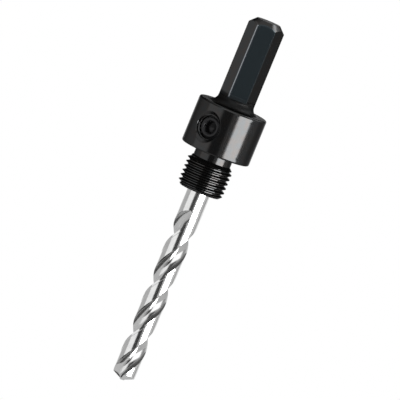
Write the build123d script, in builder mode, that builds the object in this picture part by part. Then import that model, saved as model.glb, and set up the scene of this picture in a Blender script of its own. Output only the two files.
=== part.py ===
from build123d import *
from math import acos, asin, atan, cos, degrees, pi, radians, sin, sqrt, tan
import os

# Hole saw arbor, in millimetres: a hexagonal shank, a collar and a threaded nose turned from
# one bar, the pilot drill in its bore, and the set screw that clamps the drill.
#
# The tool's axis is Z. The shank points up and the drill points down, as in a drill press.
# The origin is on the axis, in the face where the shank meets the collar. The set screw's hole
# looks to the front, along -Y, and one corner of the hexagon stands over it.

# Shank: six flats for the jaws of a drill chuck
shank_length = 24.6
shank_flats = 8.7  # across the flats
shank_end_chamfer = 1.75  # at 45 degrees, measured on the corners
root_length = 2.2  # round stretch between the collar and the flats
root_fillet = 2.1  # hollow fillet from the round stretch into the collar's face

# Collar
collar_diameter = 19.05
collar_length = 13.0
collar_edge_chamfer = 0.5

# Nose: an undercut neck, then the thread that the saw screws onto, at its major diameter
neck_diameter = 10.4
neck_length = 2.15
neck_cone_angle = 45  # of the cone that leads from the neck out to the thread
thread_diameter = 12.7
thread_length = 7.65
thread_end_chamfer = 0.85

# Pilot drill
drill_diameter = 6.35
drill_length = 80.0
drill_end_chamfer = 0.5
drill_lead = 28.5  # height of one turn of the right-hand flutes
flute_count = 2
flute_length = 43.0  # from the point to where the flutes begin to run out
flute_radius = 2.15  # of the cutter that makes a flute
flute_sides = 12  # of the polygon that stands for the round cutter's section
flute_exit_radius = 10.0  # of the arc by which the cutter leaves the drill
flute_phase = 48.0  # where the middle of a flute lies at the point, about the axis from +X
web_thickness = 1.2  # left between the two flutes
point_angle = 118
relief_angle = 13  # by which each flank falls away behind its cutting lip

# Bore for the drill
bore_depth = 26.0  # from the nose's end face to the end of the full bore
bore_clearance = 0.05  # radial
bore_end_gap = 0.3  # from the drill's end to the end of the full bore
bore_mouth_chamfer = 0.4
bore_tip_angle = 118

# Set screw and its hole, at the middle of the collar's length
screw_diameter = 6.35
screw_length = 4.76
screw_clearance = 0.05  # radial
screw_tip_gap = 0.05  # from the cup's rim to the drill
screw_chamfer = 0.55
cup_diameter = 3.3
cup_angle = 118
socket_flats = 3.18  # across the flats
socket_depth = 2.3
countersink_diameter = 8.7
countersink_angle = 90

# Sizes that follow
shank_corner_radius = shank_flats / 2 / cos(radians(30))
collar_radius = collar_diameter / 2
neck_radius = neck_diameter / 2
thread_radius = thread_diameter / 2
drill_radius = drill_diameter / 2
bore_radius = drill_radius + bore_clearance
screw_radius = screw_diameter / 2
screw_hole_radius = screw_radius + screw_clearance
cup_radius = cup_diameter / 2

seat_z = -collar_length  # the collar's face that the saw seats on
cone_start_z = seat_z - neck_length
thread_start_z = cone_start_z - (thread_radius - neck_radius) / tan(radians(neck_cone_angle))
nose_z = thread_start_z - thread_length
bore_end_z = nose_z + bore_depth
bore_tip_z = bore_end_z + bore_radius / tan(radians(bore_tip_angle / 2))
drill_end_z = bore_end_z - bore_end_gap
point_z = drill_end_z - drill_length

# The set screw's plane stands on the tool's axis and looks along the screw, out of its hole
screw_plane = Plane(origin=(0, 0, -collar_length / 2), x_dir=(1, 0, 0), z_dir=(0, -1, 0))
screw_tip = drill_radius + screw_tip_gap
screw_top = screw_tip + screw_length

os.makedirs("parts", exist_ok=True)

# Arbor body. The half profile is turned about the axis, with the hollow at the shank's root and
# the chamfers on both edges of the collar made in the profile.
with BuildPart() as arbor_body:
    with BuildSketch(Plane.XZ) as half_profile:
        with BuildLine():
            Polyline(
                (0, shank_length),
                (shank_corner_radius, shank_length),
                (shank_corner_radius, 0),
                (collar_radius, 0),
                (collar_radius, seat_z),
                (neck_radius, seat_z),
                (neck_radius, cone_start_z),
                (thread_radius, thread_start_z),
                (thread_radius, nose_z),
                (0, nose_z),
                close=True,
            )
        make_face()
        corners = half_profile.vertices()
        shank_end = corners.sort_by_distance((shank_corner_radius, shank_length))[0]
        shank_root = corners.sort_by_distance((shank_corner_radius, 0))[0]
        thread_end = corners.sort_by_distance((thread_radius, nose_z))[0]
        collar_edges = corners.group_by(Axis.X)[-1]
        chamfer(shank_end, shank_end_chamfer)
        fillet(shank_root, root_fillet)
        chamfer(thread_end, thread_end_chamfer)
        chamfer(collar_edges, collar_edge_chamfer)
    revolve(axis=Axis.Z)

    # The six flats, milled from the shank's end down to the round stretch at its root
    with BuildSketch(Plane.XY.offset(root_length)):
        Circle(collar_radius)
        RegularPolygon(shank_flats / 2, 6, major_radius=False, rotation=30, mode=Mode.SUBTRACT)
    extrude(amount=shank_length - root_length, mode=Mode.SUBTRACT)

    # The blind bore, with the drilled cone at its end and a chamfer at its mouth
    with BuildSketch(Plane.XZ):
        with BuildLine():
            Polyline(
                (0, bore_tip_z),
                (bore_radius, bore_end_z),
                (bore_radius, nose_z + bore_mouth_chamfer),
                (bore_radius + bore_mouth_chamfer, nose_z),
                (0, nose_z),
                close=True,
            )
        make_face()
    revolve(axis=Axis.Z, mode=Mode.SUBTRACT)

    # The set screw's hole, countersunk at the collar's surface and open into the bore
    with Locations(screw_plane.offset(collar_radius)):
        CounterSinkHole(
            radius=screw_hole_radius,
            counter_sink_radius=countersink_diameter / 2,
            depth=collar_radius,
            counter_sink_angle=countersink_angle,
        )

arbor_body.part.label = "arbor_body"
export_step(arbor_body.part, "parts/arbor_body.step")

# Flute cutter. Its section, a polygon of many sides about the round cutter, follows a
# right-hand helix that starts just below the point, and then leaves the drill along a quarter
# circle that is tangent to the helix and turns outward.
cutter_radius = web_thickness / 2 + flute_radius  # from the drill's axis to the cutter's middle
cutter_start_z = point_z - flute_radius
with BuildPart() as flute_cutter:
    with BuildLine() as cutter_path:
        helix = Helix(
            drill_lead, flute_length + flute_radius, cutter_radius, center=(0, 0, cutter_start_z)
        )
        leave = helix @ 1
        ahead = helix % 1
        outward = Vector(leave.X, leave.Y, 0).normalized()
        exit_centre = leave + outward * flute_exit_radius
        ThreePointArc(
            leave,
            exit_centre + (ahead - outward) * (flute_exit_radius * cos(radians(45))),
            exit_centre + ahead * flute_exit_radius,
        )
    with BuildSketch(Plane(origin=helix @ 0, z_dir=helix % 0)):
        RegularPolygon(flute_radius, flute_sides, major_radius=False)
    sweep(path=cutter_path.wires()[0], is_frenet=True)

# Cut level, the round cutter's path is an ellipse, wider round the drill than it is deep.
# Where that ellipse crosses the drill's surface gives half the angle that a flute takes up.
cutter_slope = atan(2 * pi * cutter_radius / drill_lead)
ellipse_end = cutter_radius**2 - flute_radius**2 + (drill_radius * cos(cutter_slope)) ** 2
edge_height = cutter_radius - sqrt(cutter_radius**2 - sin(cutter_slope) ** 2 * ellipse_end)
flute_half_angle = degrees(acos(edge_height / sin(cutter_slope) ** 2 / drill_radius))

# Each cutting lip is a straight line that passes the axis at half the web's thickness. Its
# outer corner is where the lip's height above the point meets the leading edge of the land.
lip_rise = 1 / tan(radians(point_angle / 2))
relief_rise = tan(radians(relief_angle))
lip_offset_angle = asin(web_thickness / 2 / drill_radius)
corner_height = drill_radius * (
    cos(lip_offset_angle) * lip_rise - sin(lip_offset_angle) * relief_rise
)
lip_angle = (
    flute_phase
    + 360 * corner_height / drill_lead
    + flute_half_angle
    + degrees(lip_offset_angle)
)

# Pilot drill. The flanks of the point are two planes through the point, each one sloping up
# along its lip and also behind it, so that they meet in a short level chisel edge.
with BuildPart() as pilot_drill:
    with BuildSketch(Plane.XY.offset(point_z)):
        Circle(drill_radius)
    extrude(amount=drill_length)
    chamfer(pilot_drill.faces().sort_by(Axis.Z)[-1].edges(), drill_end_chamfer)

    cutter_turn = flute_phase - 360 * (point_z - cutter_start_z) / drill_lead
    for flute in range(flute_count):
        turn = 360 / flute_count * flute
        add(flute_cutter.part, rotation=(0, 0, cutter_turn + turn), mode=Mode.SUBTRACT)

    for flank in range(flute_count):
        along = Vector(1, 0, 0).rotate(Axis.Z, lip_angle + 360 / flute_count * flank)
        behind = along.rotate(Axis.Z, 90)
        upward = Vector(0, 0, 1) - along * lip_rise - behind * relief_rise
        split(bisect_by=Plane(origin=(0, 0, point_z), z_dir=upward), keep=Keep.TOP)

pilot_drill.part.label = "pilot_drill"
export_step(pilot_drill.part, "parts/pilot_drill.step")

# Set screw. Turned to a cup point that bears on the drill, with a hexagonal socket on top.
section_plane = Plane(origin=screw_plane.origin, x_dir=(1, 0, 0), z_dir=(0, 0, -1))
with BuildPart() as set_screw:
    with BuildSketch(section_plane):
        with BuildLine():
            Polyline(
                (0, screw_tip + cup_radius / tan(radians(cup_angle / 2))),
                (cup_radius, screw_tip),
                (screw_radius, screw_tip + screw_radius - cup_radius),
                (screw_radius, screw_top - screw_chamfer),
                (screw_radius - screw_chamfer, screw_top),
                (0, screw_top),
                close=True,
            )
        make_face()
    revolve(axis=Axis(screw_plane.origin, screw_plane.z_dir))

    with BuildSketch(screw_plane.offset(screw_top - socket_depth)):
        RegularPolygon(socket_flats / 2, 6, major_radius=False)
    extrude(amount=socket_depth, mode=Mode.SUBTRACT)

set_screw.part.label = "set_screw"
export_step(set_screw.part, "parts/set_screw.step")
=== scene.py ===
# %% [markdown]
# A hole saw arbor, dressed for its picture
#
# The object is a small tool of three pieces: a black body turned from one bar, with a hexagonal
# shank, a collar and a threaded nose; a bright twist drill in its bore; and a set screw in the
# side of the collar. The measured model fixes where every piece is. This lesson builds each
# piece again as a fine surface worked out with numpy, with the thread, the ground flutes and the
# rounded edges that the measured model leaves plain, and gives it its steel.

from math import acos, asin, atan, cos, degrees, pi, radians, sin, sqrt, tan

import bmesh
import bpy
import numpy as np
from mathutils import Matrix, Vector


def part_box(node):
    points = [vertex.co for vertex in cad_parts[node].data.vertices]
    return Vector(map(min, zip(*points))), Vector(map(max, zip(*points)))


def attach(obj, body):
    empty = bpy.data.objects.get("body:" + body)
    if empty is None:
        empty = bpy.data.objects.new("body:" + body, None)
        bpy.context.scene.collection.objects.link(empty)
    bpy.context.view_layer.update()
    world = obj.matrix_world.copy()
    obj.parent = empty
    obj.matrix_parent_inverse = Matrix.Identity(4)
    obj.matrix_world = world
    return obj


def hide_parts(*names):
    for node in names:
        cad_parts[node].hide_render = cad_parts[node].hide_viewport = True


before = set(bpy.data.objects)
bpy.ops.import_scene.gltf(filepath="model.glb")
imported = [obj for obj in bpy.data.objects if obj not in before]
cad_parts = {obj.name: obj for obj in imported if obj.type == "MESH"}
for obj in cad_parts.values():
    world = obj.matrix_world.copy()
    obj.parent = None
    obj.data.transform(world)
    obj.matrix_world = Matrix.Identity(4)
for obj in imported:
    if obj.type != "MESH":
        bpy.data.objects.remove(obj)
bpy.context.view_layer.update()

# %% [markdown]
# ## Sizes
#
# Every length below is in millimetres and turned into metres only when a mesh is made. The sizes
# that another piece depends on are read from the boxes of the measured nodes, so the surfaces
# land where those nodes are. What a box can't tell, such as the width across the flats or the
# lead of the flutes, is a named value.

# %% Sizes in millimetres, from the frame and by name
MM = 0.001
body_low, body_high = [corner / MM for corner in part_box("arbor_body")]
drill_low, drill_high = [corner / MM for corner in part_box("pilot_drill")]
screw_low, screw_high = [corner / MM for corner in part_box("set_screw")]

shank_length = body_high.z
nose_z = body_low.z
collar_radius = body_high.x
drill_radius = drill_high.x
point_z = drill_low.z
drill_end_z = drill_high.z
screw_radius = screw_high.x
screw_z = (screw_low.z + screw_high.z) / 2
screw_tip = -screw_high.y
screw_top = -screw_low.y
collar_length = -2 * screw_z

shank_flats = 8.7
shank_end_chamfer = 1.75
root_length = 2.2
root_hollow = 2.1
collar_edge = 0.5
neck_radius = 5.2
neck_length = 2.15
thread_radius = 6.35
thread_pitch = 1.27
thread_end_chamfer = 0.85
bore_radius = drill_radius + 0.05
bore_mouth = 0.4
bore_end_z = drill_end_z + 0.3
seat_z = -collar_length
cone_start_z = seat_z - neck_length
print("collar", round(2 * collar_radius, 2), "by", round(collar_length, 2), "point at", round(point_z, 2))

# %% [markdown]
# ## Sheets that become pieces
#
# A surface is kept as a sheet: an array of rows and columns of points. Several sheets that share
# their edges make a closed skin, once the points that coincide are merged. A row whose points
# all lie on the axis becomes a pole in the same step. A fourth number travels with each point,
# for the material to read: how much the finish is worn there, or where across a flute it is.

# %% Helpers: sheets, skins and rounded profiles
def sheet(x, y, z, trace=0.0):
    """A sheet of points: rows run along the first axis, columns along the second, and the last
    axis holds x, y, z and the number for the material."""
    return np.stack(np.broadcast_arrays(x, y, z, trace), axis=-1)


def closed(points):
    """The same sheet with its first column repeated at the end, so that it closes on itself."""
    return np.concatenate([points, points[:, :1]], axis=1)


def quads(rows, columns, start):
    """Corner numbers of every cell: each corner is row times columns plus column."""
    corner = start + np.arange(rows - 1)[:, None] * columns + np.arange(columns - 1)[None, :]
    return np.stack([corner, corner + 1, corner + columns + 1, corner + columns], axis=-1).reshape(-1, 4)


def make_piece(name, sheets, body, node, material, trace="wear", sharp_angle=32):
    """Joins the sheets into one closed skin, in metres, that stands for the node and rides on the
    body. Edges that turn by more than sharp_angle degrees stay crisp."""
    points = np.concatenate([part.reshape(-1, 4) for part in sheets])
    starts = np.cumsum([0] + [part.shape[0] * part.shape[1] for part in sheets])
    faces = np.concatenate([quads(*part.shape[:2], start) for part, start in zip(sheets, starts)])
    mesh = bpy.data.meshes.new(name)
    mesh.from_pydata((points[:, :3] * MM).tolist(), [], faces.tolist())
    traced = mesh.attributes.new(trace, "FLOAT", "POINT")
    traced.data.foreach_set("value", points[:, 3].astype(np.float32))
    skin = bmesh.new()
    skin.from_mesh(mesh)
    bmesh.ops.remove_doubles(skin, verts=skin.verts, dist=0.0002 * MM)
    bmesh.ops.recalc_face_normals(skin, faces=skin.faces)
    open_edges = sum(1 for edge in skin.edges if len(edge.link_faces) != 2)
    skin.to_mesh(mesh)
    skin.free()
    mesh.shade_smooth()
    mesh.set_sharp_from_angle(angle=radians(sharp_angle))
    piece = bpy.data.objects.new(name, mesh)
    bpy.context.scene.collection.objects.link(piece)
    mesh.materials.append(material)
    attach(piece, body)
    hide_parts(node)
    print(name, "faces", len(mesh.polygons), "open edges", open_edges)


def rounded_profile(corners, radii, steps=6):
    """A profile through the corners with each one rounded by an exact arc.

    corners has one entry per corner, each an array of columns by (radius, height). At a corner P
    the arc runs from A to B, both a length cut back from P, as the rational curve
    ((1-t)^2 A + 2 w t (1-t) P + t^2 B) over the same weights, where w is the sine of half the
    angle at P. On the straight runs rows stand close to each arc, so that shading stays flat."""
    corners = np.asarray(corners, float)
    count = len(corners)
    starts, ends, curves = [], [], []
    for i in range(count):
        here = corners[i]
        if i in (0, count - 1) or radii[i] == 0:
            starts.append(here)
            ends.append(here)
            curves.append(here[None])
            continue
        back, ahead = corners[i - 1] - here, corners[i + 1] - here
        back_run = np.linalg.norm(back, axis=-1, keepdims=True) + 1e-9
        ahead_run = np.linalg.norm(ahead, axis=-1, keepdims=True) + 1e-9
        half = np.arccos(np.clip(np.sum(back * ahead, -1, keepdims=True) / back_run / ahead_run, -1, 1)) / 2
        room_back = back_run * (0.5 if radii[i - 1] and i > 1 else 1.0)
        room_ahead = ahead_run * (0.5 if radii[i + 1] and i < count - 2 else 1.0)
        cut = np.minimum(radii[i] / np.tan(half), np.minimum(room_back, room_ahead))
        start, end = here + back / back_run * cut, here + ahead / ahead_run * cut
        t = np.linspace(0, 1, steps + 1)[:, None, None]
        first, middle, last = (1 - t) ** 2, 2 * np.sin(half) * t * (1 - t), t**2
        starts.append(start)
        ends.append(end)
        curves.append((first * start + middle * here + last * end) / (first + middle + last))
    run = np.array([0.03, 0.12, 0.5, 0.88, 0.97])[:, None, None]
    rows = [curves[0]]
    for i in range(1, count):
        rows.append(ends[i - 1] + run * (starts[i] - ends[i - 1]))
        rows.append(curves[i])
    return np.concatenate(rows)


def turned(profile, angles, wear=0.0):
    """Carries a profile of (radius, height) round the tool's axis: x = r cos a, y = r sin a."""
    r, z = profile[..., 0], profile[..., 1]
    return closed(sheet(r * np.cos(angles), r * np.sin(angles), z, wear))


def level(r, z, columns):
    """One corner of a profile that is the same in every column."""
    return np.broadcast_to(np.array([r, z], float), (columns, 2))


trial = rounded_profile([level(0, 0, 1), level(2, 0, 1), level(2, 2, 1)], [0, 1, 0])[:, 0]
corner_loss = np.hypot(trial[:, 0] - 2, trial[:, 1]).min()
print("a square corner rounded by 1 mm loses", round(corner_loss, 3))

# %% [markdown]
# ## Formulas as shader nodes
#
# A finish is easier to read as a formula than as boxes and wires. The small class below wraps one
# output of a node. The usual signs between two of them, or between one and a number, add the
# Math node that does it, and vectors and colours get Vector Math instead.

# %% A wire that does arithmetic
class Wire:
    """One output socket of a node tree, with arithmetic on it."""

    def __init__(self, tree, socket=None):
        self.tree, self.socket = tree, socket

    def make(self, kind, settings=None, inputs=None, output=0):
        """Makes any node: its settings first, because they may change its sockets, and then the
        values or links of its inputs, by name or number. Returns the wire of one output."""
        node = self.tree.nodes.new(kind)
        for name, value in (settings or {}).items():
            setattr(node, name, value)
        for key, value in (inputs or {}).items():
            if isinstance(value, Wire):
                self.tree.links.new(value.socket, node.inputs[key])
            else:
                node.inputs[key].default_value = value
        return Wire(self.tree, node.outputs[output])

    def maths(self, operation, *parts):
        """One Math node, or one Vector Math node where a vector or a colour takes part."""
        many = [isinstance(p, tuple) or (isinstance(p, Wire) and p.socket.type != "VALUE") for p in parts]
        if not any(many):
            return self.make("ShaderNodeMath", {"operation": operation}, dict(enumerate(parts)))
        parts = [(p, p, p) if isinstance(p, (int, float)) else p for p in parts]
        return self.make("ShaderNodeVectorMath", {"operation": operation}, dict(enumerate(parts)))

    def __add__(self, other):
        return self.maths("ADD", self, other)

    def __sub__(self, other):
        return self.maths("SUBTRACT", self, other)

    def __rsub__(self, other):
        return self.maths("SUBTRACT", other, self)

    def __mul__(self, other):
        return self.maths("MULTIPLY", self, other)

    def __pow__(self, other):
        return self.maths("POWER", self, other)

    __radd__, __rmul__ = __add__, __mul__

    def between(self, low, high):
        """0 below low and 1 above high, with a smooth step from one to the other."""
        smooth = {"interpolation_type": "SMOOTHSTEP"}
        return self.make("ShaderNodeMapRange", smooth, {0: self, 1: low, 2: high})

    def blend(self, first, second):
        """Mixes two colours: the first where this wire is 0, the second where it is 1."""
        return self.make("ShaderNodeMix", {"data_type": "RGBA"}, {0: self, 6: first, 7: second}, 2)

    def noise(self, scale, detail=3.0, roughness=0.55):
        """Soft noise between 0 and 1 over this wire's vector."""
        inputs = {"Vector": self, "Scale": scale, "Detail": detail, "Roughness": roughness}
        return self.make("ShaderNodeTexNoise", {"noise_dimensions": "3D"}, inputs)


print("a wire can", sorted(name for name in vars(Wire) if not name.startswith("_")))

# %% [markdown]
# Every finish starts from the same three steps: a material with one shader, the place on the tool
# in millimetres as x, y, z and the distance from the axis, and a plug for the shader's sockets.
# Fine marks are too small for the mesh, so a Bump node tilts the surface there.

# %% What every finish starts from
def start_material(name):
    """A new material with one Principled BSDF, and a bare wire that starts its nodes."""
    material = bpy.data.materials.new(name)
    material.use_nodes = True
    return material, material.node_tree.nodes["Principled BSDF"], Wire(material.node_tree)


def plug(shader, **sockets):
    """Links wires to the shader's sockets and sets numbers and colours on them."""
    for name, value in sockets.items():
        socket = shader.inputs[name.replace("_", " ")]
        if isinstance(value, Wire):
            value.tree.links.new(value.socket, socket)
        else:
            socket.default_value = value


def tool_coordinates(start):
    """Object coordinates in millimetres, and from them x, y, z and the distance from the axis."""
    place = start.make("ShaderNodeTexCoord", output="Object") * (1 / MM, 1 / MM, 1 / MM)
    split = place.make("ShaderNodeSeparateXYZ", inputs={0: place})
    x, y, z = [Wire(start.tree, split.socket.node.outputs[i]) for i in range(3)]
    return place, x, y, z, (x * x + y * y) ** 0.5


def vector(start, x, y, z):
    """Three wires or numbers as one vector."""
    return start.make("ShaderNodeCombineXYZ", inputs={0: x, 1: y, 2: z})


def relief(height, strength, depth):
    """Tilts the surface as if a height from 0 to 1 were that many millimetres deep."""
    return height.make(
        "ShaderNodeBump", inputs={"Strength": strength, "Distance": depth * MM, "Height": height}
    )


print("materials so far", len(bpy.data.materials))

# %% [markdown]
# ## Black oxide
#
# The body is blackened steel. The coat is thin, so the metal under it still gives it a sheen,
# and the marks of the lathe show through: rings on everything that was turned, and streaks along
# the six flats. They could be painted on a picture that is wrapped round the piece, but noise
# that is read at (distance from the axis, height) is the same all the way round, whichever way
# the surface faces, and needs no such map. The colour drifts between a warm and a cold black, and
# one flat has a blue tint from the heat. The flat on the left is painted lighter, as a painted
# sheen, and the hollow at the shank's root is painted darker, as painted shade. Where tools have
# rubbed, steel shows through.
#
# The coat is matt at the smallest scale, so it mirrors less at a grazing angle than bare steel
# does. The shader's specular tint does that, and keeps the outline dark against a white ground.

# %% The body's material
black_oxide, oxide_shader, start = start_material("black_oxide_steel")
place, x, y, z, off_axis = tool_coordinates(start)
worn = start.make("ShaderNodeAttribute", {"attribute_name": "wear"}, output="Fac")
warm_black = (0.0375, 0.0355, 0.0345, 1)
cold_black = (0.0345, 0.036, 0.037, 1)
blue_black = (0.025, 0.034, 0.039, 1)
bare_steel = (0.30, 0.31, 0.33, 1)
on_flats = z.between(root_length - 0.1, root_length + 0.5)
rings = vector(start, off_axis * 3.2, 0.0, z * 3.2).noise(1.0, detail=5.0, roughness=0.7)
streaks = vector(start, x * 5.0, y * 5.0, z * 0.22).noise(1.0, detail=4.0, roughness=0.65)
marks = rings + on_flats * (streaks - rings)
cloud = place.noise(0.45, detail=4.0)
speck = place.noise(3.5, detail=3.0, roughness=0.7)
rubbed = (worn * (0.35 + speck * 0.9)).between(0.25, 0.85)
flat_out = (3.9, 4.25)  # a place farther out than this along a flat's own direction is on that flat
blue_flat = on_flats * (x * 0.5 - y * 0.866).between(*flat_out)
# painted sheen: the flat on the left is painted lighter than the others
painted_sheen_flat = on_flats * (x * -0.5 - y * 0.866).between(*flat_out)
oxide_colour_and_sheen = blue_flat.blend(cloud.between(0.35, 0.65).blend(warm_black, cold_black), blue_black)
oxide_colour_and_sheen = oxide_colour_and_sheen * (1 + 0.9 * painted_sheen_flat)
# painted shade: the hollow at the shank's root and the foot of the flats are painted darker, and made
# rougher
hollow_painted_shade = z.between(-0.2, 0.3) * (1 - z.between(root_length + 0.7, root_length + 1.5))
plug(
    oxide_shader,
    Base_Color=rubbed.blend(oxide_colour_and_sheen * (1 - 0.6 * hollow_painted_shade), bare_steel),
    Metallic=0.9 + rubbed * 0.08 - blue_flat * (1 - rubbed) * 0.45,
    Specular_Tint=(0.36, 0.36, 0.36, 1),
    Roughness=0.12 + marks * 0.07 + (speck - 0.5) * 0.05 + on_flats * 0.05 + hollow_painted_shade * 0.3,
    Normal=relief(marks + speck * 0.5, 0.2, 0.02),
)
print("body material nodes", len(black_oxide.node_tree.nodes))

# %% [markdown]
# ## Bright and black screw steel
#
# The drill is ground all over and has no coat. Its plain shank carries fine rings from the
# grinding wheel, and its flutes carry streaks that follow them, which noise over the place
# across the section gives: every point of the drill's skin carries its place round the section
# as an attribute. The set screw is blackened like the body but duller, with faint rings about its
# own axis and a worn rim on its thread. Its black is darker than the body's, partly its own
# finish and partly painted shade of the hole it sits in.

# %% The drill's and the screw's materials
bright_steel, bright_shader, start = start_material("bright_steel")
place, _, _, z, off_axis = tool_coordinates(start)
across = start.make("ShaderNodeAttribute", {"attribute_name": "across"}, output="Fac")
above_flutes = point_z + 48.5
on_shank = z.between(above_flutes, above_flutes + 1.5)
ground_rings = vector(start, off_axis * 2.0, 0.0, z * 6.0).noise(1.0, detail=4.0, roughness=0.7)
ground_streaks = vector(start, across * 260.0, 0.0, z * 0.15).noise(1.0, detail=3.0, roughness=0.6)
ground = ground_streaks + on_shank * (ground_rings - ground_streaks)
haze = place.noise(0.6, detail=3.0)
plug(
    bright_shader,
    Base_Color=haze.between(0.3, 0.7).blend((0.60, 0.60, 0.60, 1), (0.66, 0.66, 0.655, 1)),
    Metallic=1.0,
    Roughness=0.08 + ground * 0.07 + haze * 0.04,
    Normal=relief(ground, 0.25, 0.01),
)

screw_steel, screw_shader, start = start_material("black_screw_steel")
place, x, y, z, _ = tool_coordinates(start)
worn = start.make("ShaderNodeAttribute", {"attribute_name": "wear"}, output="Fac")
screw_place = vector(start, x, 0.0, z - screw_z)
off_screw = start.make(
    "ShaderNodeVectorMath", {"operation": "LENGTH"}, {0: screw_place}, output="Value"
)
faced = vector(start, off_screw * 4.0, 0.0, y * 4.0).noise(1.0, detail=4.0, roughness=0.65)
grain = place.noise(2.5, detail=4.0)
screw_worn = (worn * (0.4 + grain)).between(0.5, 1.2)
# painted shade: the screw's black is darker than the body's, partly its own finish and partly the shade of
# its hole
plug(
    screw_shader,
    Base_Color=screw_worn.blend((0.014, 0.014, 0.015, 1), (0.12, 0.12, 0.12, 1)),
    Metallic=0.3,
    Specular_IOR_Level=0.3,
    Roughness=0.36 + grain * 0.12,
    Normal=relief(faced + grain * 0.4, 0.3, 0.02),
)
print("drill nodes", len(bright_steel.node_tree.nodes), "screw nodes", len(screw_steel.node_tree.nodes))

# %% [markdown]
# ## The six-sided bar
#
# The shank is a hexagonal bar with slightly broken corners. In polar form a flat lies at
# (half the width across the flats) / cos(angle from its middle), and the broken corner is a small
# circle that touches both flats. Columns stand every 2.5 degrees, with more of them where the
# corners are, because that is where the light turns. Two opposite corners have been knocked, so
# their circle is larger and some of their black is gone. The other four are still crisp.

# %% Hexagon in polar form, and the columns that all turned parts share
def hexagon(angles, half_width, corner_radius, corner_at):
    """Distance from the axis to a hexagon with rounded corners. corner_at is the direction of one
    corner. On a flat the distance is h / cos d. On a corner it is the far side of the small
    circle: m cos g + sqrt(c^2 - m^2 sin^2 g), where m is the distance to its middle."""
    from_corner = (angles - corner_at + pi / 6) % (pi / 3) - pi / 6
    from_flat = pi / 6 - np.abs(from_corner)
    flat = half_width / np.cos(from_flat)
    middle = (half_width - corner_radius) / cos(pi / 6)
    inside = np.maximum(corner_radius**2 - (middle * np.sin(from_corner)) ** 2, 0)
    corner = middle * np.cos(from_corner) + np.sqrt(inside)
    touch = pi / 6 - np.arctan((half_width - corner_radius) * tan(pi / 6) / half_width)
    return np.where(np.abs(from_corner) < touch, corner, flat)


corner_direction = radians(-90)
even_columns = np.arange(144) * 2.5
near_corner = np.array([-1.8, -1.27, -0.85, -0.42, 0.42, 0.85, 1.27, 1.8])
corner_columns = (np.arange(6)[:, None] * 60 + near_corner[None, :]).ravel() % 360
around = np.radians(np.sort(np.concatenate([even_columns, corner_columns])) - 150)
columns = len(around)
knocked = np.clip(np.cos(2 * (around - corner_direction)), 0, 1)
crisp_corner, knocked_extra = 0.05, 0.29
corner_radii = crisp_corner + knocked_extra * knocked
bar = hexagon(around, shank_flats / 2, corner_radii, corner_direction)
print("columns", columns, "across corners", round(2 * bar.max(), 2))

# %% [markdown]
# ## Shank and the top of the collar
#
# The end of the bar was turned to a 45 degree cone, which meets the flats in six shallow curves.
# No special work is needed for them: in each column the profile simply runs down the cone until it
# meets the flat of that column. At the root the flats stop at a small step, where the milling
# cutter left its own radius, and a hollow leads out to the collar's face.

# %% Shank profile, column by column
bar_corner = shank_flats / 2 / cos(pi / 6)
end_radius = bar_corner - shank_end_chamfer
end_round, foot_round, cutter_round = 0.15, 0.12, 0.67
cone_foot = np.stack([bar, shank_length - (bar - end_radius)], axis=-1)
flat_foot = np.stack([bar, np.full(columns, root_length)], axis=-1)
shank_rows = rounded_profile(
    [
        level(0, shank_length, columns),
        level(end_radius, shank_length, columns),
        cone_foot,
        flat_foot,
        level(bar_corner, root_length, columns),
        level(bar_corner, root_hollow, columns),
    ],
    [0, end_round, foot_round, cutter_round, 0, 0],
)
at_corner = np.abs((around - corner_direction + pi / 6) % (pi / 3) - pi / 6) < radians(2)
below_cone = shank_rows[..., 1] < shank_length - shank_end_chamfer + 0.2
corner_wear = at_corner * knocked * below_cone * (shank_rows[..., 1] > root_length + 0.5)
on_cone = (shank_length - shank_rows[..., 1]) * (shank_rows[..., 1] > shank_length - shank_end_chamfer)
shank_wear = np.maximum(0.9 * corner_wear, 0.3 * np.clip(on_cone / 0.4, 0, 1))
shank = turned(shank_rows, around, shank_wear)

collar_top_rows = rounded_profile(
    [
        level(bar_corner, root_hollow, columns),
        level(bar_corner, 0, columns),
        level(collar_radius, 0, columns),
        level(collar_radius, -collar_edge - 0.1, columns),
    ],
    [0, root_hollow, collar_edge, 0],
    steps=8,
)
collar_top = turned(collar_top_rows, around)
print("shank rows", len(shank_rows), "collar top rows", len(collar_top_rows))

# %% [markdown]
# ## The collar's side and the set screw's hole
#
# The side of the collar is a plain cylinder, except where the screw's hole breaks it. Cutting a
# hole with a boolean would leave slivers that shade badly. Instead a rectangular window is left
# out of the cylinder, and a patch of rings leads from the window's edge to the rim of the hole.
# The countersink is a 45 degree cone, and where it meets the cylinder the rim's distance from
# the hole's axis has a closed formula.

# %% A cylinder with a window, and the rings that lead to the hole
window_half = radians(75)
side_steps = 24
window_columns = int(np.sum(np.abs((around + pi / 2 + pi) % (2 * pi) - pi) <= window_half + 1e-6))
hole_count = 2 * (side_steps + window_columns - 1)
hole_columns = (np.arange(hole_count) - side_steps / 2) * 2 * pi / hole_count


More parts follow.
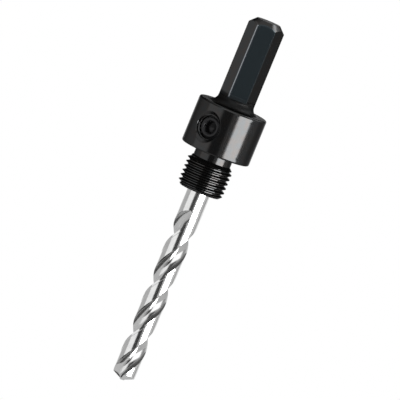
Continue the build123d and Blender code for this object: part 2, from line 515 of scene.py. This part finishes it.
def windowed_band(radius, z_low, z_high, rim_rho, rings=10):
    """A cylinder from z_low to z_high with a hole that looks along -Y at screw_z.

    Returns the plain part and the patch. rim_rho is the hole's distance from its own axis in each
    of the hole's columns. The patch is laid out on the unrolled cylinder, in arc length and
    height: its points slide in straight lines from the window's edge to the rim, and then
    x = R sin(arc / R) and y = -R cos(arc / R) roll them up again."""
    offset = (around + pi / 2 + pi) % (2 * pi) - pi
    outside = around[np.abs(offset) >= window_half - 1e-6]
    turn = np.sort((outside + pi / 2) % (2 * pi)) - pi / 2
    heights = np.linspace(z_high, z_low, side_steps + 1)
    plain = sheet(radius * np.cos(turn), radius * np.sin(turn), heights[:, None])
    arc = radius * np.sort(offset[np.abs(offset) <= window_half + 1e-6])
    left, right = np.full(side_steps, arc[0]), np.full(side_steps, arc[-1])
    top, bottom = np.full(len(arc) - 1, z_high), np.full(len(arc) - 1, z_low)
    edge_arc = np.concatenate([right, arc[:0:-1], left, arc[:-1]])
    edge_z = np.concatenate([heights[:0:-1], top, heights[:-1], bottom])
    rim_arc = radius * np.arcsin(rim_rho * np.cos(hole_columns) / radius)
    rim_z = screw_z + rim_rho * np.sin(hole_columns)
    slide = np.linspace(0, 1, rings + 1)[:, None] ** 0.7
    patch_arc = edge_arc + slide * (rim_arc - edge_arc)
    patch_z = edge_z + slide * (rim_z - edge_z)
    turn_patch = patch_arc / radius
    patch = sheet(radius * np.sin(turn_patch), -radius * np.cos(turn_patch), patch_z)
    return plain, closed(patch)


countersink_radius = 4.35
cone_offset = collar_radius - countersink_radius
leaning = 1 + np.cos(hole_columns) ** 2
rim_rho = (-cone_offset + np.sqrt(cone_offset**2 + leaning * (collar_radius**2 - cone_offset**2))) / leaning
rim_break = 0.12
outer_rho = rim_rho + rim_break
side_low, side_high = seat_z + collar_edge + 0.1, -collar_edge - 0.1
collar_side, collar_patch = windowed_band(collar_radius, side_low, side_high, outer_rho, rings=14)
print("hole columns", hole_count, "rim from", round(rim_rho.min(), 2), "to", round(rim_rho.max(), 2))

# %% [markdown]
# Below the countersink the hole is tapped. Only the first turn shows above the screw, as a light
# ring with dark grooves. The groove is a helix: its depth depends on the height minus the pitch
# times the angle. Deeper down the wall narrows a little and opens into the bore.

# %% The hole: rim, countersink, first turns of the thread, and the way into the bore
def thread_depth(height, angle, pitch, depth, start, crest=0.125):
    """Depth below the crest of a right-hand 60 degree thread. The place in the pitch is
    height / pitch - angle / (2 pi) - start, its middle is the crest, and beyond the crest's flat
    the depth grows by tan 60 times the distance."""
    place = (height / pitch - angle / (2 * pi) - start) % 1
    from_crest = np.abs(place - 0.5) * pitch
    return np.clip((from_crest - crest * pitch / 2) * tan(radians(60)), 0, depth)


def beside_hole(rho, out, angles=hole_columns, trace=0.0):
    """Points round the screw's axis: rho from it, and out from the tool's axis along -Y."""
    return closed(sheet(rho * np.cos(angles), -out, screw_z + rho * np.sin(angles), trace))


tap_radius = screw_radius + 0.035
tap_depth = 0.28
tap_reach = 1.6
outer = np.stack([outer_rho, np.sqrt(collar_radius**2 - (outer_rho * np.cos(hole_columns)) ** 2)], axis=-1)
rim_point = np.stack([rim_rho, cone_offset + rim_rho], axis=-1)
sink_foot = tap_radius + tap_depth
sink_rows = rounded_profile(
    [outer, rim_point, level(sink_foot, cone_offset + sink_foot, hole_count)], [0, 0.1, 0], steps=4
)
countersink = beside_hole(sink_rows[..., 0], sink_rows[..., 1])
tap_out = np.linspace(cone_offset + sink_foot, screw_top - tap_reach, 34)[:, None]
tap_groove = thread_depth(tap_out, hole_columns, thread_pitch, tap_depth, 0.0)
tap_rho = tap_radius + tap_groove
tap_rho[0] = sink_foot
tapped = beside_hole(tap_rho, tap_out, trace=0.4 * (1 - tap_groove / tap_depth))
tap_end = tap_out[-1, 0]
screw_clearance = 0.05
wall_radius = screw_radius + screw_clearance
wall_end, port_start, port_radius = 4.8, 3.9, 2.9
port_end = np.sqrt(bore_radius**2 - (port_radius * np.cos(hole_columns)) ** 2)
port_rows = np.stack(
    [
        np.stack([tap_rho[-1], np.full(hole_count, tap_end)], axis=-1),
        level(wall_radius, tap_end - 0.3, hole_count),
        level(wall_radius, wall_end, hole_count),
        level(port_radius, port_start, hole_count),
        np.stack([np.full(hole_count, port_radius), port_end], axis=-1),
    ]
)
port = beside_hole(port_rows[..., 0], port_rows[..., 1])
print("tapped rows", len(tap_out), "port rows", len(port_rows))

# %% [markdown]
# ## Neck, thread and nose
#
# The saw screws onto a thread of 20 turns to the inch. A thread is a surface whose radius depends
# on the height and on the angle together. If its rows were level, every crest would cross them at
# a slant and look ragged. So the rows climb with the helix: each row stands at a fixed place in
# the pitch, and its height grows by one pitch in a turn. At both ends the rows are held at the
# last level, and the radius is the smallest of the thread, the neck's cone and the end chamfer.

# %% A sheet whose rows climb with the thread
def climbing_rows(angles, low, high, pitch, depth, start):
    """Heights of rows that follow the helix height = pitch * (place + angle / (2 pi) + start), held
    between low and high. In each pitch, rows stand at the crest's edges and down both flanks. The
    last column repeats the first a turn later. Returns the angles and the heights."""
    crest = pitch * 0.125 / 2
    flank = depth / tan(radians(60))
    steps = np.array([-0.12, 0, 0.08, 0.3, 0.55, 0.8, 1])
    half_places = crest + steps * flank
    places = 0.5 + np.concatenate([-half_places[::-1], half_places]) / pitch
    whole = np.arange(int(np.floor(low / pitch)) - 3, int(np.floor(high / pitch)) + 3)
    rows = (whole[:, None] + places[None, :]).ravel()
    swept = np.append(angles, angles[0] + 2 * pi)
    return swept, np.clip(pitch * (rows[:, None] + swept / (2 * pi) + start), low, high)


thread_full_depth = 0.6134 * thread_pitch
thread_start = 0.0354
swept, nose_heights = climbing_rows(
    around, nose_z, cone_start_z, thread_pitch, thread_full_depth, thread_start
)
groove = thread_depth(nose_heights, swept, thread_pitch, thread_full_depth, thread_start)
neck_cone = neck_radius + cone_start_z - nose_heights
end_cone = thread_radius - thread_end_chamfer + nose_heights - nose_z
nose_radius = np.minimum(thread_radius - groove, np.minimum(neck_cone, end_cone))
crest_wear = 0.25 * np.clip(1 - groove / 0.16, 0, 1) * np.clip((neck_cone - thread_radius) / 0.3, 0, 1)
nose_thread = sheet(nose_radius * np.cos(swept), nose_radius * np.sin(swept), nose_heights, crest_wear)

collar_bottom = turned(
    rounded_profile(
        [
            level(collar_radius, side_low, columns),
            level(collar_radius, seat_z, columns),
            level(neck_radius, seat_z, columns),
            level(neck_radius, cone_start_z, columns),
        ],
        [0, collar_edge, 0.35, 0],
        steps=8,
    ),
    around,
)
window_reach = 3.6
nose_face = turned(
    rounded_profile(
        [
            level(thread_radius - thread_end_chamfer, nose_z, columns),
            level(bore_radius + bore_mouth, nose_z, columns),
            level(bore_radius, nose_z + bore_mouth, columns),
            level(bore_radius, screw_z - window_reach, columns),
        ],
        [0, 0.06, 0.06, 0],
        steps=3,
    ),
    around,
)
print("thread rows", len(nose_heights), "from", round(nose_z, 2), "to", round(cone_start_z, 2))

# %% [markdown]
# The bore's wall is a cylinder with a window too, where the screw's hole comes in, and the cone
# that drilling leaves closes its end. The same function as on the collar's side makes it.

# %% The bore, and the body as one skin
drilled_cone = radians(118 / 2)
bore_side, bore_patch = windowed_band(
    bore_radius, screw_z - window_reach, screw_z + window_reach, np.full(hole_count, port_radius), rings=4
)
bore_end = turned(
    rounded_profile(
        [
            level(bore_radius, screw_z + window_reach, columns),
            level(bore_radius, bore_end_z, columns),
            level(0, bore_end_z + bore_radius / tan(drilled_cone), columns),
        ],
        [0, 0, 0],
    ),
    around,
)
body_sheets = [shank, collar_top, collar_side, collar_patch, countersink, tapped, port]
body_sheets += [bore_side, bore_patch, bore_end, collar_bottom, nose_thread, nose_face]
make_piece("arbor_body_turned", body_sheets, "arbor", "arbor_body", black_oxide)

# %% [markdown]
# ## The twist drill
#
# A twist drill's section is the same everywhere along its flutes, only turned. The lip side of
# a flute is ground so that it meets the cone of the point in a straight line: the cutting
# lip. Working backwards, each point of that straight lip is turned back by the twist
# over its own height, which gives the section. The heel side is the arc of the grinding wheel,
# which a level cut shows as part of an ellipse.

# %% The section of one flute
lead = 28.5
flute_length = 43.0
web_half = 0.6
wheel_radius = 2.15
wheel_exit = 10.0
flute_middle = radians(48)
lip_rise = 1 / tan(radians(118 / 2))
relief_rise = tan(radians(13))
twist = 2 * pi / lead

wheel_middle = web_half + wheel_radius
slope = atan(twist * wheel_middle)
wheel_wide = wheel_radius / cos(slope)
edge_end = wheel_middle**2 - wheel_radius**2 + (drill_radius * cos(slope)) ** 2
edge_reach = wheel_middle - sqrt(wheel_middle**2 - sin(slope) ** 2 * edge_end)
flute_half = acos(edge_reach / sin(slope) ** 2 / drill_radius)
lip_reach = sqrt(drill_radius**2 - web_half**2)
lip_angle = flute_middle + flute_half + asin(web_half / drill_radius) + twist * (
    lip_reach * lip_rise - web_half * relief_rise
)


def flute_curve(s):
    """The flute's edge in its own directions: x out through its middle, y round the drill.

    For s from 0 to 0.5 it is the lip side. A point of the lip stands a distance t along it, at
    height lip_rise * t - relief_rise * web_half, and is turned back by the twist over that
    height. For s from 0.5 to 1 it is the ellipse of the wheel, up to the heel."""
    t = lip_reach * np.maximum(1 - 2 * s, 0)
    lip_height = lip_rise * t - relief_rise * web_half
    turned_to = lip_angle - np.arctan2(web_half, t) - twist * lip_height - flute_middle
    reach = np.hypot(t, web_half)
    first, last = radians(3), acos((wheel_middle - drill_radius * cos(flute_half)) / wheel_radius)
    v = first + (last - first) * (2 * s - 1)
    x = np.where(s <= 0.5, reach * np.cos(turned_to), wheel_middle - wheel_radius * np.cos(v))
    y = np.where(s <= 0.5, reach * np.sin(turned_to), -wheel_wide * np.sin(v))
    return x, y


print("lip at", round(degrees(lip_angle), 2), "half of a flute", round(degrees(flute_half), 2))

# %% [markdown]
# Towards the shank the wheel swings out of the steel along an arc, and the flute runs out. In
# every row the arc pushes the flute's curve outward, and what is left of the curve inside the
# round bar is where steel was taken away. The two crossings of the curve with the bar are kept on
# columns of the grid, so the long edge of each flute stays a clean line.

# %% Rows of the drill: flutes, lands, run-out
leave_z = point_z + flute_length
margin_width = 0.6
land_relief = 0.1
steps_in_flute, steps_on_land = 40, 18
chisel_s = 0.5 * (1 - web_half * relief_rise / lip_rise / lip_reach)


def flute_points(z, s):
    """The flute's curve at height z, pushed out by the wheel's arc. The way gone along the helix
    since the wheel began to leave is d = (z - leave) / cos slope + y sin slope, and the push is
    radius - sqrt(radius^2 - d^2)."""
    x, y = flute_curve(s)
    gone = np.clip((z - leave_z) / cos(slope) + y * sin(slope), 0, 0.99 * wheel_exit)
    return x + wheel_exit - np.sqrt(wheel_exit**2 - gone**2), y


def drill_section(z):
    """Both lands and both flutes for each height in z, as radius and angle from the flute's middle.
    Half the section is a land, from the lip edge of one flute to the heel of the next, followed by
    that next flute from its heel to its lip. The other half is the same turned by half a turn."""
    z = z[:, None]
    fade = np.clip((leave_z + 1 - z) / 3, 0, 1)
    heel_radius = drill_radius - land_relief * fade * fade * (3 - 2 * fade)
    s = np.linspace(0, 1, 601)[None, :]
    x, y = flute_points(z, s)
    room = np.where(s < 0.5, drill_radius, heel_radius) - np.hypot(x, y)
    cut = room > 1e-6
    some = cut.any(axis=1)
    last_cut = np.nonzero(some)[0][-1]
    first = np.maximum(np.argmax(cut, axis=1), 1)
    last = np.minimum(s.shape[1] - 1 - np.argmax(cut[:, ::-1], axis=1), s.shape[1] - 2)
    row = np.arange(len(z))
    step = s[0, 1]
    start_s = s[0, first] - step * room[row, first] / (room[row, first] - room[row, first - 1])
    end_s = s[0, last] + step * room[row, last] / (room[row, last] - room[row, last + 1])
    knot = np.clip(chisel_s, start_s, end_s)
    u = np.linspace(0, 1, steps_in_flute // 2 + 1)
    lip_side = start_s[:, None] + (knot - start_s)[:, None] * u
    wheel_side = knot[:, None] + (end_s - knot)[:, None] * u[1:]
    s_flute = np.concatenate([lip_side, wheel_side], axis=1)
    x, y = flute_points(z, s_flute)
    radius, angle = np.hypot(x, y), np.arctan2(y, x)
    tail = angle[last_cut].mean()
    radius = np.where(some[:, None], radius, drill_radius)
    angle = np.where(some[:, None], angle, tail)
    lip_edge, heel_edge = angle[:, :1], angle[:, -1:] + pi
    margin = np.array([0, 0.5, 1.0, 1.2]) * margin_width / drill_radius
    rest = np.linspace(0, 1, steps_on_land - 3)[1:]
    past_margin = lip_edge + margin[-1]
    land_angle = np.concatenate(
        [lip_edge + margin, past_margin + (heel_edge - past_margin) * rest], axis=1
    )
    on_margin = np.arange(land_angle.shape[1]) < 3
    land_radius = np.where(on_margin, drill_radius, heel_radius)
    land_radius[:, 0], land_radius[:, -1] = radius[:, 0], radius[:, -1]
    half_radius = np.concatenate([land_radius, radius[:, -2:0:-1]], axis=1)
    half_angle = np.concatenate([land_angle, angle[:, -2:0:-1] + pi], axis=1)
    end_z = z[last_cut, 0]
    return np.hstack([half_radius] * 2), np.hstack([half_angle, half_angle + pi]), end_z


even_from, run_out = 6.0, 7.0
low_heights = np.arange(0, even_from, 0.25)
fluted = point_z + np.concatenate([low_heights, np.arange(even_from, flute_length + run_out, 0.2)])
section_radius, section_angle, flute_end_z = drill_section(fluted)
print("flutes end", round(flute_end_z - point_z, 2), "above the tip, columns", section_radius.shape[1])

# %% [markdown]
# The point is two flat flanks. Each rises along its lip and behind it, so its height over a
# place is a fixed number times the distance along the lip plus another times the distance
# behind it. The higher flank counts, and because the two are mirror images through the axis, that
# is the size of one of them with its sign dropped. The height grows evenly along any ray from the
# axis, so straight rays to the tip lie exactly in the flanks. The rows just above the point bend
# from its edge to the level rows of the flutes.

# %% The drill as one skin
def over_tip(radius, angle):
    """Height of the flanks above the tip: |lip_rise r cos a + relief_rise r sin a|, a from the lip."""
    from_lip = angle - lip_angle
    return np.abs(radius * (lip_rise * np.cos(from_lip) + relief_rise * np.sin(from_lip)))


def twisted(height):
    """How far the section has turned at a height above the tip. The turn stops with the flutes."""
    return flute_middle + twist * np.minimum(height, flute_end_z - point_z)


low_rows = len(low_heights)
tip_height = np.zeros(section_radius.shape[1])
for _ in range(60):
    tip_height = over_tip(section_radius[0], section_angle[0] + twisted(tip_height))
height = (fluted - point_z)[:, None] + np.zeros_like(tip_height)
share = np.linspace(0, 1, low_rows + 1)[:-1, None]
height[:low_rows] = tip_height + share * (even_from - tip_height)
turn = section_angle + twisted(height)
place_across = np.linspace(0, 1, section_radius.shape[1])
flutes = sheet(section_radius * np.cos(turn), section_radius * np.sin(turn), point_z + height, place_across)

inward = np.array([0, 0.04, 0.2, 0.5, 0.8, 1])[:, None]
tip_radius = section_radius[0] * (1 - inward)
flank_z = point_z + tip_height * (1 - inward)
flanks = sheet(tip_radius * np.cos(turn[0]), tip_radius * np.sin(turn[0]), flank_z, place_across)

end_chamfer = 0.5
shank_top = drill_end_z - end_chamfer
end_radius = drill_radius - end_chamfer
side_z = np.linspace(fluted[-1], shank_top - 0.1, 30)
plain_z = np.concatenate([side_z, [shank_top, drill_end_z - 0.01, drill_end_z, drill_end_z]])[:, None]
plain_r = np.concatenate([np.full(31, drill_radius), [end_radius, end_radius - 0.02, 0]])[:, None]
plain = sheet(plain_r * np.cos(turn[-1]), plain_r * np.sin(turn[-1]), plain_z, place_across)
drill_sheets = [closed(part) for part in (flanks, flutes, plain)]
make_piece(
    "pilot_drill_ground", drill_sheets, "drill", "pilot_drill", bright_steel,
    trace="across", sharp_angle=20,
)

# %% [markdown]
# ## The set screw
#
# A headless screw is a short threaded bar with a cup at one end and a hexagonal socket at the
# other. Its thread uses the same climbing rows as the nose, carried along the screw's own axis.
# The bevel at the socket's mouth is a cone that meets the six sides, worked out as the
# shank's end was. The floor of the socket is the pit that the drill left before the broaching.

# %% The screw as one skin
socket_flats = 3.18
socket_depth = 2.3
cup_radius = 1.65
socket_mouth = 2.0
pit_radius, pit_depth = 1.3, 0.6
screw_end_cut = 0.7
screw_thread_depth = 0.68
screw_thread_start = 0.2
screw_around = around + radians(30)
socket = hexagon(screw_around, socket_flats / 2, crisp_corner, 0.0)
swept, screw_out = climbing_rows(
    screw_around, screw_tip, screw_top, thread_pitch, screw_thread_depth, screw_thread_start
)
screw_groove = thread_depth(screw_out, swept, thread_pitch, screw_thread_depth, screw_thread_start)
screw_rho = np.minimum(screw_radius - screw_groove, cup_radius + screw_out - screw_tip)
screw_rho = np.minimum(screw_rho, screw_radius - screw_end_cut + screw_top - screw_out)
rim_wear = np.clip(1 - screw_groove / 0.15, 0, 1)
screw_thread = sheet(
    screw_rho * np.cos(swept), -screw_out, screw_z + screw_rho * np.sin(swept), rim_wear
)
cup_middle = level(0, screw_tip + cup_radius / tan(drilled_cone), columns)
cup_rows = rounded_profile([cup_middle, level(cup_radius, screw_tip, columns)], [0, 0])
socket_floor = screw_top - socket_depth
socket_rows = rounded_profile(
    [
        level(screw_radius - screw_end_cut, screw_top, columns),
        level(socket_mouth, screw_top, columns),
        np.stack([socket, screw_top - (socket_mouth - socket)], axis=-1),
        np.stack([socket, np.full(columns, socket_floor)], axis=-1),
        level(pit_radius, socket_floor, columns),
        level(0, socket_floor - pit_depth, columns),
    ],
    [0, 0.05, 0.05, 0, 0, 0],
)
screw_sheets = [screw_thread]
for rows in (cup_rows, socket_rows):
    screw_sheets.append(beside_hole(rows[..., 0], rows[..., 1], screw_around))
make_piece("set_screw_threaded", screw_sheets, "screw", "set_screw", screw_steel)

# %% [markdown]
# ## The camera
#
# The picture was taken from the front and a little above, from far away, with the tool leaning to
# the right. In the frame the tool stands upright, so the camera is rolled instead: it looks
# at a point just beside the axis, and its up direction is turned away from the tool's.

# %% Camera at the picture's viewing angle
look_right, look_up = 1.35, 0.48
azimuth, elevation, lean = radians(28.8), radians(6.15), radians(22.36)
distance = 2000.0
aim = Vector((0, 0, -27.0))
towards_camera = Vector((sin(azimuth) * cos(elevation), -cos(azimuth) * cos(elevation), sin(elevation)))
axis_up = (Vector((0, 0, 1)) - towards_camera * towards_camera.z).normalized()
axis_right = axis_up.cross(towards_camera)
image_up = cos(lean) * axis_up - sin(lean) * axis_right
image_right = cos(lean) * axis_right + sin(lean) * axis_up
camera_at = aim + towards_camera * distance
back = (camera_at - (aim + look_right * image_right + look_up * image_up)).normalized()
right = image_up.cross(back).normalized()
up = back.cross(right)

camera_data = bpy.data.cameras.new("picture_camera")
camera_data.sensor_width = 36.0
camera_data.lens = 681.2
camera_data.clip_start, camera_data.clip_end = 0.05, 10
camera = bpy.data.objects.new("picture_camera", camera_data)
camera.matrix_world = Matrix.Translation(camera_at * MM) @ Matrix((right, up, back)).transposed().to_4x4()
bpy.context.scene.collection.objects.link(camera)
bpy.context.scene.camera = camera
print("camera at", [round(value, 3) for value in camera.location])

# %% [markdown]
# ## Lights, room and white ground
#
# Polished and blackened steel have hardly any colour of their own: they show the room. So the
# room of a product photograph is painted into the world, by direction: how far to the side of
# the camera, and how far up. A soft light on the right draws the bright band down the collar, a
# weaker one on the left lifts the other side, dark cards round the camera leave the dark stripe
# down the middle, and far to both sides and behind the tool the ground is white. What the steel
# mirrors at a second bounce, one side of a flute in the other, is dimmer on the left and above.
#
# Only mirrored rays see that room. Everything else is lit evenly by two soft lights that mirrors
# don't see and by the world at one plain level, and the camera sees a white ground.

# %% The two soft lights
scene_collection = bpy.context.scene.collection


def around_tool(side_angle, height_angle, far):
    """A place seen from aim: side_angle degrees to the right of the camera, and height_angle
    degrees above the level, far millimetres away."""
    turn = azimuth - pi / 2 + radians(side_angle)
    lift = radians(height_angle)
    return aim + far * Vector((cos(lift) * cos(turn), cos(lift) * sin(turn), sin(lift)))


def soft_light(name, side_angle, height_angle, far, wide, tall, radiance):
    """A rectangular light that faces aim. Its power is radiance * pi * its area."""
    data = bpy.data.lights.new(name, "AREA")
    data.shape, data.size, data.size_y = "RECTANGLE", wide * MM, tall * MM
    data.energy = radiance * pi * wide * MM * tall * MM
    light = bpy.data.objects.new(name, data)
    light.location = around_tool(side_angle, height_angle, far) * MM
    light.rotation_euler = (light.location - aim * MM).to_track_quat("Z", "Y").to_euler()
    light.visible_camera = light.visible_glossy = False
    scene_collection.objects.link(light)


soft_light("left_softbox", -54, 10, 500, 430, 430, 1.5)
soft_light("right_softbox", 54, 10, 500, 430, 430, 1.5)

# %% [markdown]
# A picture of a real room would light the steel too, but it would bring the reflections of that
# room. In the world's nodes each card is one line: how bright it is, and how far it reaches to
# the side and upward, in degrees. Later cards cover earlier ones, and soft edges keep the
# mirrored bands from ending like a cut.

# %% The room in the world
world = bpy.data.worlds.new("studio")
bpy.context.scene.world = world
world.use_nodes = True
start = Wire(world.node_tree)
background = world.node_tree.nodes["Background"]
direction = start.make("ShaderNodeTexCoord", output="Generated")


def along(heading):
    """How far the looked-at direction goes along a heading."""
    both = {0: direction, 1: tuple(heading)}
    return start.make("ShaderNodeVectorMath", {"operation": "DOT_PRODUCT"}, both, output="Value")


def within(wire, low, high, soft=2.0):
    """1 between low and high, with soft edges."""
    return wire.between(low - soft, low + soft) * (1 - wire.between(high - soft, high + soft))


front, rightward = around_tool(0, 0, 1) - aim, around_tool(90, 0, 1) - aim
side = start.maths("ARCTAN2", along(rightward), along(front)) * (180 / pi)
lift = start.maths("ARCSINE", along((0, 0, 1))) * (180 / pi)
aside = start.maths("ABSOLUTE", side)
# Grey walls, white behind and overhead, and a dark band behind the tool above the ground
room = 0.62 + 0.38 * start.maths("MAXIMUM", aside.between(140, 165), lift.between(54, 60))
room = room + aside.between(125, 150) * within(lift, 1, 40) * (0.12 - room)
for strength, across_view, up_view in (
    (1.6, (-36, 24), (3, 42)),  # a pale card above the camera
    (1.25, (-80, -28), (-37, -1)),  # the weaker light on the left
    (0.4, (-34, 26), (43, 55)),  # the pale card's dim upper edge
    (0.08, (-158, -45), (4, 34)),  # a dark card on the left
    (0.2, (-20, 110), (-75, -40)),  # the dark below, to the right
    (0.3, (-27, 18), (-48, -16)),  # a dim card below the camera
    (0.06, (-24, 9), (-18, 0)),  # the dark camera itself
    (0.75, (70, 108), (-40, 10)),  # grey beside the strong light
    (0.5, (108, 128), (-40, 20)),  # and darker behind it
    (1.0, (131, 180), (-40, 10)),  # white ground behind the tool
    (2.5, (100, 152), (20, 50)),  # light from high on the right, behind
    (10.0, (98, 126), (50, 66)),  # a small lamp above that
    (13.8, (29, 75), (-15, 0)),  # the strong soft light on the right
):
    inside = within(side, *across_view) * within(lift, *up_view)
    room = room + inside * (strength - room)
rays = start.make("ShaderNodeLightPath").socket.node.outputs
ray_kinds = ("Is Camera Ray", "Is Glossy Ray", "Is Transmission Ray", "Glossy Depth")
seen, mirrored, through, depth = [Wire(world.node_tree, rays[kind]) for kind in ray_kinds]
again = depth.between(1.2, 1.8)
room = room + again * (0.15 + 0.85 * side.between(-10, 80) * (1 - lift.between(-30, 8)) - room)
white = start.maths("MAXIMUM", seen, through)
level_light = 0.6
brightness = level_light + white * (1 - level_light) + mirrored * (room - level_light)
plug(background, Color=(1, 1, 1, 1), Strength=brightness)
print("world nodes", len(world.node_tree.nodes))

# %% [markdown]
# The tool's point hangs free, so the floor lies well below it. It is a pale disc that fades out
# towards its rim, and the camera doesn't see where it ends.

# %% The pale floor
floor_drop, fade_start = 55, 60
floor_z = point_z - floor_drop
rim, ring = 200.0, np.linspace(0, 2 * pi, 97)
floor_rows = np.array([0.001, 50, 100, 150, rim])[:, None]
floor_points = sheet(floor_rows * np.cos(ring), floor_rows * np.sin(ring), floor_z)
floor_mesh = bpy.data.meshes.new("pale_floor")
floor_corners = floor_points.reshape(-1, 4)[:, :3] * MM
floor_mesh.from_pydata(floor_corners.tolist(), [], quads(len(floor_rows), len(ring), 0).tolist())
floor = bpy.data.objects.new("pale_floor", floor_mesh)
scene_collection.objects.link(floor)

pale, pale_shader, start = start_material("pale_floor")
paleness = (0.9, 0.9, 0.9, 1)
faded = tool_coordinates(start)[-1].between(fade_start, rim - 5)
plug(pale_shader, Base_Color=paleness, Roughness=0.9, Alpha=1 - faded)
floor_mesh.materials.append(pale)
print("floor at", round(floor_z, 1))

# %% The picture's colours as they are
scene = bpy.context.scene
scene.view_settings.view_transform = "Standard"
